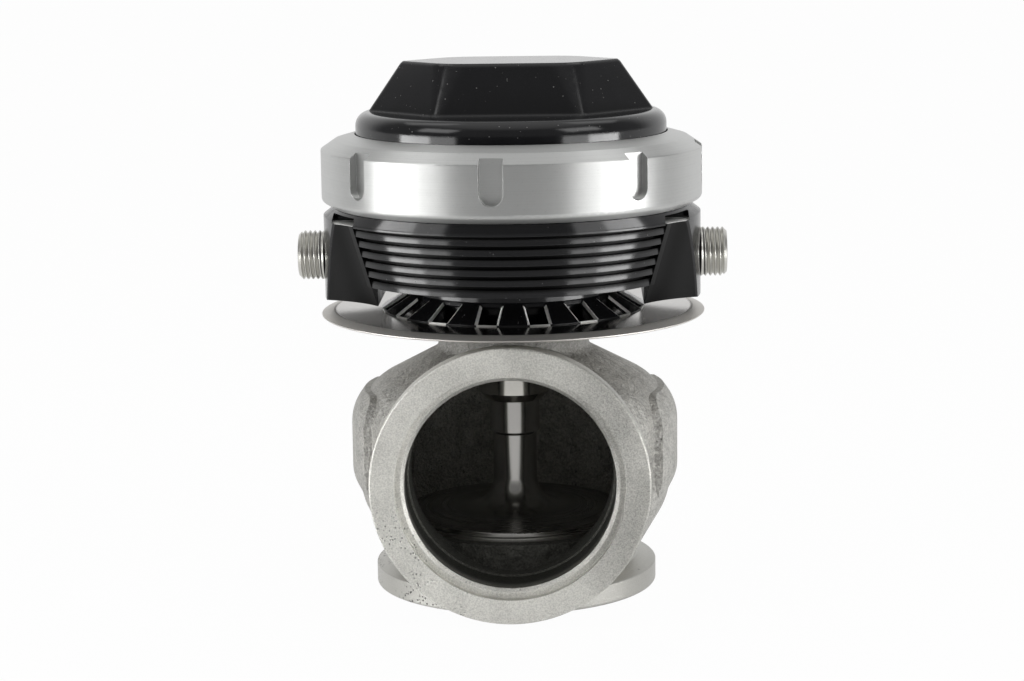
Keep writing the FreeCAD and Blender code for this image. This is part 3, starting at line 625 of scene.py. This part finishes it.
# ---- pieces -------------------------------------------------------------------------------------
def threaded_stub(side, sizes):
    """Stub with a real helical thread: rings from its shank to its tip and back down the bore."""
    around = 40
    steps_per_pitch = 12
    land, land_inset = 2.2, 0.4         # plain length before the thread
    root, flank_share = 0.08, 0.76      # shares of half a pitch
    bore_bevel = 0.5

    node = "coolant_fitting_" + ("right" if side > 0 else "left")
    ends = abs(low_mm(node).x), abs(high_mm(node).x)
    inner, tip = min(ends), max(ends)
    face = STUB.x - STUB_SIZES["length_mm"] / 2
    outer = STUB_SIZES["r_mm"]
    rings = []

    def ring(along, radius_at):
        points = []
        for k in range(around):
            angle = 2 * math.pi * k / around
            r = radius_at(along, angle)
            point = (side * along, r * math.cos(angle), STUB.z + r * math.sin(angle))
            points.append(Vector(point) * MM)
        rings.append(points)

    def plain(along, radius):
        ring(along, lambda _along, _angle: radius)

    def thread(along, angle):
        phase = (along / sizes.pitch - side * angle / (2 * math.pi)) % 1.0
        flank = abs(2 * phase - 1)
        tooth = min(1.0, max(0.0, (flank - root) / flank_share))
        fade = min(1.0, max(0.0, (along - face) / sizes.pitch))
        bevel = max(0.0, along - (tip - sizes.chamfer))
        return min(outer - sizes.depth * (1 - tooth) * fade, outer - bevel)

    plain(inner, sizes.bore)
    plain(inner, sizes.shank)
    plain(face - land, sizes.shank)
    plain(face - land, outer - land_inset)
    plain(face - 0.1, outer - land_inset)
    steps = int((tip - face) / sizes.pitch * steps_per_pitch)
    for i in range(steps + 1):
        ring(face + (tip - face) * i / steps, thread)
    plain(tip, sizes.bore + bore_bevel)
    plain(tip - bore_bevel, sizes.bore)
    return grid_mesh(node + "_thread", rings, closed_along=True)


def spring_shape(node, wire, turns, sizes):
    """Round wire coil between the heights of its CAD node."""
    low, high = low_mm(node), high_mm(node)
    mean = high.x - wire / 2
    bottom = low.z + wire / 2
    top = high.z - wire / 2
    closed = sizes.closed_turns
    count = int(turns * sizes.turn_steps)
    rings = []
    for i in range(count + 1):
        turn = turns * i / count
        share = min(1.0, max(0.0, (turn - closed) / (turns - 2 * closed)))
        ends = min(turn, closed) - min(0.0, turns - closed - turn)
        height = bottom + wire * ends + share * (top - bottom - 2 * wire * closed)
        angle = 2 * math.pi * turn
        out = Vector((math.cos(angle), math.sin(angle), 0))
        centre = out * mean + Vector((0, 0, height))
        ring = []
        for k in range(sizes.wire_sides):
            bend = 2 * math.pi * k / sizes.wire_sides
            aside, up = wire / 2 * math.cos(bend), wire / 2 * math.sin(bend)
            ring.append((centre + out * aside + Vector((0, 0, up))) * MM)
        rings.append(ring)
    return grid_mesh(node + "_coil", rings)


def diaphragm_shape():
    """Rolling diaphragm, turned about the stem: flat edge, rounded roll, skirt and flat centre."""
    around = 72
    low, high = low_mm("diaphragm"), high_mm("diaphragm")
    skirt = high_mm("piston").x + 0.3
    wall = 41.0                         # radius that the roll lies against
    hole = 5.3
    sheet, edge = 0.9, 1.0              # thickness of the sheet and of its clamped edge
    flat = high.z - 3.0                 # top of the clamped edge
    over, under = low.z + sheet, low.z + 0.15
    roll = (wall - skirt) / 2
    centre = (wall + skirt) / 2

    def arc(radius, degrees):
        turns = [math.radians(a) for a in degrees]
        return [(centre + radius * math.cos(t), high.z - roll + radius * math.sin(t))
                for t in turns]

    profile = [(high.x, flat), (wall + 0.4, flat)]
    profile += arc(roll, range(0, 181, 20))
    profile += [(skirt, low.z + 2.4), (skirt - 1.5, over), (hole, over),
                (hole, under), (skirt - 0.8, under), (skirt + sheet, under + 1.55)]
    profile += arc(roll - sheet, range(180, -1, -20))
    profile += [(wall - sheet, flat - edge), (high.x, flat - edge)]
    turns = [2 * math.pi * k / around for k in range(around)]
    rings = [[Vector((r * math.cos(t), r * math.sin(t), z)) * MM for t in turns]
             for r, z in profile]
    return grid_mesh("rolling_diaphragm", rings, closed_along=True)


# ---- operators ----------------------------------------------------------------------------------
class WASTEGATE_OT_body(bpy.types.Operator):
    """Finish the valve body, its seat and the gasket above it"""
    bl_idname = "wastegate.body"
    bl_label = "Valve body"

    def execute(self, context):
        colours = context.scene.wastegate_colours
        dress(body_finish(colours), "valve_body")
        dress(plated_finish(colours), "valve_seat")
        dress(gasket_finish(), "body_gasket")
        return {"FINISHED"}


class WASTEGATE_OT_valve(bpy.types.Operator):
    """Finish the valve, its guide and bush"""
    bl_idname = "wastegate.valve"
    bl_label = "Valve and guide"

    def execute(self, context):
        colours = context.scene.wastegate_colours
        dress(valve_finish(colours), "valve")
        dress(guide_finish(colours), "valve_guide", "base_bush")
        return {"FINISHED"}


class WASTEGATE_OT_shield(bpy.types.Operator):
    """Finish the heat shield"""
    bl_idname = "wastegate.shield"
    bl_label = "Heat shield"

    def execute(self, context):
        dress(polished_finish(context.scene.wastegate_colours), "heat_shield")
        return {"FINISHED"}


class WASTEGATE_OT_base(bpy.types.Operator):
    """Finish the finned base and what is sealed or screwed into it"""
    bl_idname = "wastegate.base"
    bl_label = "Actuator base"

    def execute(self, context):
        colours = context.scene.wastegate_colours
        dress(black_finish(colours), "actuator_base")
        dress(rubber_finish(colours), "stem_seal", "fitting_seal_left", "fitting_seal_right")
        dress(plated_finish(colours), "seal_retainer", "base_screws")
        return {"FINISHED"}


class WASTEGATE_OT_cap(bpy.types.Operator):
    """Finish the cap, its dowel and the slip ring"""
    bl_idname = "wastegate.cap"
    bl_label = "Cap"

    def execute(self, context):
        colours = context.scene.wastegate_colours
        dress(gloss_finish(colours), "top_cap")
        dress(plated_finish(colours), "cap_dowel", "slip_ring")
        return {"FINISHED"}


class WASTEGATE_OT_collar(bpy.types.Operator):
    """Finish the collar"""
    bl_idname = "wastegate.collar"
    bl_label = "Collar"

    def execute(self, context):
        dress(silver_finish(context.scene.wastegate_colours), "collar")
        return {"FINISHED"}


class WASTEGATE_OT_stubs(bpy.types.Operator):
    """Make the two threaded coolant stubs"""
    bl_idname = "wastegate.stubs"
    bl_label = "Coolant stubs"

    def execute(self, context):
        sizes = context.scene.wastegate_thread
        finish = plated_finish(context.scene.wastegate_colours)
        for side, word in ((-1, "left"), (1, "right")):
            new_piece("threaded_stub_" + word, threaded_stub(side, sizes), finish, "housing",
                      "fastener_steel", "coolant_fitting_" + word)
        return {"FINISHED"}


class WASTEGATE_OT_springs(bpy.types.Operator):
    """Make the three coil springs and finish their seats"""
    bl_idname = "wastegate.springs"
    bl_label = "Springs"

    def execute(self, context):
        sizes = context.scene.wastegate_spring
        colours = context.scene.wastegate_colours
        finish = spring_finish(colours)
        top = high_mm("outer_spring").z
        for node, (wire, turns) in SPRINGS.items():
            mesh = spring_shape(node, wire, turns, sizes)
            piece = new_piece(node.replace("spring", "coil"), mesh, finish, "housing",
                              "spring_steel", node)
            length = top - low_mm(node).z
            (length - LIFT) / length
            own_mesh(piece)
        dress(plated_finish(colours), "piston", "stem_washer", "stem_nut", "diaphragm_plate",
              "spring_seat")
        return {"FINISHED"}


class WASTEGATE_OT_diaphragm(bpy.types.Operator):
    """Make the rolling diaphragm"""
    bl_idname = "wastegate.diaphragm"
    bl_label = "Diaphragm"

    def execute(self, context):
        low, high = low_mm("diaphragm").z, high_mm("diaphragm").z
        finish = rubber_finish(context.scene.wastegate_colours)
        piece = new_piece("rolling_diaphragm", diaphragm_shape(), finish, "housing", "rubber",
                          "diaphragm")
        keep = (high - low - LIFT) / (high - low)
        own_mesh(piece)
        return {"FINISHED"}


def place_camera(scene, sizes):
    """Camera on the outlet's side, a little above the part."""
    turn, tilt, roll = sizes.turn, sizes.tilt, sizes.roll
    level = math.cos(tilt)
    ahead = Vector((-math.sin(turn) * level, math.cos(turn) * level, -math.sin(tilt)))
    ahead += Vector((math.cos(turn), math.sin(turn), 0)) * math.tan(sizes.pan)
    ahead.normalize()
    side = ahead.cross(Vector((0, 0, 1))).normalized()
    up = side.cross(ahead)
    right = side * math.cos(roll) + up * math.sin(roll)
    over = up * math.cos(roll) - side * math.sin(roll)
    camera = bpy.data.objects.new("camera", bpy.data.cameras.new("camera"))
    camera.data.lens = sizes.lens
    camera.data.sensor_width = 36
    camera.data.clip_start = 0.01
    camera.data.clip_end = 50
    scene.collection.objects.link(camera)
    spot = (sizes.distance * math.sin(turn), -sizes.distance * math.cos(turn), sizes.height)
    axes = Matrix((right, over, -ahead)).transposed().to_4x4()
    camera.matrix_world = Matrix.Translation(Vector(spot)) @ axes
    scene.camera = camera


def soft_box(scene, name, brightness, azimuth, elevation, distance, wide, tall, aim):
    """Area light that looks at the stem, at the height aim. Azimuth 0 is -Y and 90 is +X."""
    a, e = math.radians(azimuth), math.radians(elevation)
    away = Vector((math.sin(a) * math.cos(e), -math.cos(a) * math.cos(e), math.sin(e)))
    light = bpy.data.lights.new(name, "AREA")
    light.shape = "RECTANGLE"
    light.size = wide
    light.size_y = tall
    light.energy = brightness * math.pi * wide * tall
    lamp = bpy.data.objects.new(name, light)
    scene.collection.objects.link(lamp)
    lamp.location = Vector((0, 0, aim)) + away * distance
    lamp.rotation_euler = away.to_track_quat("Z", "Y").to_euler()
    lamp.visible_camera = False


def place_lights(scene, sizes):
    """The same four lights on either side: two low strips, a box in front and a box behind."""
    low, high = 0.055, 0.08
    for side, word in ((-1, "left"), (1, "right")):
        soft_box(scene, word + "_strip", sizes.strip_light, azimuth=side * 70, elevation=0,
                 distance=0.48, wide=0.22, tall=0.10, aim=low)
        soft_box(scene, word + "_faint_strip", sizes.strip_light * 0.35, azimuth=side * 47,
                 elevation=0, distance=0.48, wide=0.16, tall=0.10, aim=low)
        soft_box(scene, word + "_box", sizes.side_light, azimuth=side * 58, elevation=33,
                 distance=1.1, wide=0.5, tall=0.45, aim=high)
        soft_box(scene, word + "_rear_box", sizes.rear_light, azimuth=side * 125, elevation=58,
                 distance=1.0, wide=0.35, tall=0.35, aim=high)


def studio_world(scene, sizes):
    """White for the camera. Mirrored, it is a bright backdrop behind the part in a dark room."""
    world = bpy.data.worlds.new("studio")
    world.use_nodes = True
    tree = world.node_tree
    tree.nodes.clear()
    direction = add_node(tree, "ShaderNodeTexCoord", output="Generated")
    along = add_node(tree, "ShaderNodeSeparateXYZ", None, {0: direction}, "Y")
    height = add_node(tree, "ShaderNodeSeparateXYZ", None, {0: direction}, "Z")
    behind = along.step(0.3, 0.7) * height.step(0.95, 0.35)
    above = height.step(0.55, 1.0)
    glow = (behind * (sizes.backdrop - sizes.room) + sizes.room).either(above * sizes.ceiling)
    seen = add_node(tree, "ShaderNodeLightPath", output="Is Camera Ray")
    strength = glow * (1 - seen) + seen
    light = add_node(tree, "ShaderNodeBackground", None,
                     {"Color": (1, 1, 1, 1), "Strength": strength})
    light.feed(tree.nodes.new("ShaderNodeOutputWorld").inputs[0])
    scene.world = world


def pale_floor(sizes):
    """Large pale floor with a faint contact shadow, mirrored as a bright table with an edge."""
    room, fade = 0.04, 40               # brightness beyond the table, and its edge's width in mm
    glow = 0.97                         # share of the floor's own light

    finish = Finish("pale_floor", Base_Color=(0.8, 0.8, 0.8), Roughness=0.6,
                    Specular_IOR_Level=0.2)
    bright = finish.add("ShaderNodeEmission", None, {"Strength": 1.0})
    edge = sizes.table_edge / MM
    table = finish.y.step(-edge - fade, -edge) * (sizes.table - room) + room
    mirrored = finish.add("ShaderNodeEmission", None, {"Strength": table})
    seen = finish.add("ShaderNodeLightPath", output="Is Camera Ray")
    lit = Wire(finish.tree, finish.shader.outputs[0])
    shown = finish.add("ShaderNodeMixShader", None, {0: glow, 1: lit, 2: bright})
    mixed = finish.add("ShaderNodeMixShader", None, {0: seen, 1: mirrored, 2: shown})
    mixed.feed(finish.end.inputs[0])
    bpy.ops.mesh.primitive_circle_add(vertices=96, radius=6.0, fill_type="NGON",
                                      location=(0, 0, 0))
    floor = bpy.context.object
    floor.name = "floor"
    floor.data.materials.append(finish.material)


class WASTEGATE_OT_stage(bpy.types.Operator):
    """Set up the camera, the lights, the backdrop and the floor"""
    bl_idname = "wastegate.stage"
    bl_label = "Studio"

    def execute(self, context):
        scene = context.scene
        sizes = scene.wastegate_studio
        place_camera(scene, sizes)
        place_lights(scene, sizes)
        studio_world(scene, sizes)
        pale_floor(sizes)
        scene.view_settings.view_transform = "Standard"
        return {"FINISHED"}


class WASTEGATE_PT_panel(bpy.types.Panel):
    """Lists the steps that dress the wastegate"""
    bl_idname = "WASTEGATE_PT_panel"
    bl_label = "Wastegate"
    bl_space_type = "VIEW_3D"
    bl_region_type = "UI"
    bl_category = "Wastegate"

    def draw(self, context):
        for operator in OPERATORS:
            self.layout.operator(operator.bl_idname)
        for group in GROUPS:
            box = self.layout.box()
            holder = getattr(context.scene, group)
            for name in holder.__annotations__:
                box.prop(holder, name)


GROUPS = {
    "wastegate_thread": ThreadSizes,
    "wastegate_spring": SpringSizes,
    "wastegate_colours": FinishColours,
    "wastegate_studio": StudioSizes,
}
OPERATORS = [
    WASTEGATE_OT_body, WASTEGATE_OT_valve, WASTEGATE_OT_shield, WASTEGATE_OT_base,
    WASTEGATE_OT_cap, WASTEGATE_OT_collar, WASTEGATE_OT_stubs, WASTEGATE_OT_springs,
    WASTEGATE_OT_diaphragm, WASTEGATE_OT_stage,
]


def register():
    for group in GROUPS.values():
        bpy.utils.register_class(group)
    for operator in OPERATORS:
        bpy.utils.register_class(operator)
    bpy.utils.register_class(WASTEGATE_PT_panel)
    for name, group in GROUPS.items():
        setattr(bpy.types.Scene, name, PointerProperty(type=group))


def unregister():
    for name in GROUPS:
        delattr(bpy.types.Scene, name)
    bpy.utils.unregister_class(WASTEGATE_PT_panel)
    for operator in reversed(OPERATORS):
        bpy.utils.unregister_class(operator)
    for group in reversed(GROUPS.values()):
        bpy.utils.unregister_class(group)


def main():
    register()
    for operator in OPERATORS:
        family, name = operator.bl_idname.split(".")
        getattr(getattr(bpy.ops, family), name)()


if __name__ == "__main__":
    main()
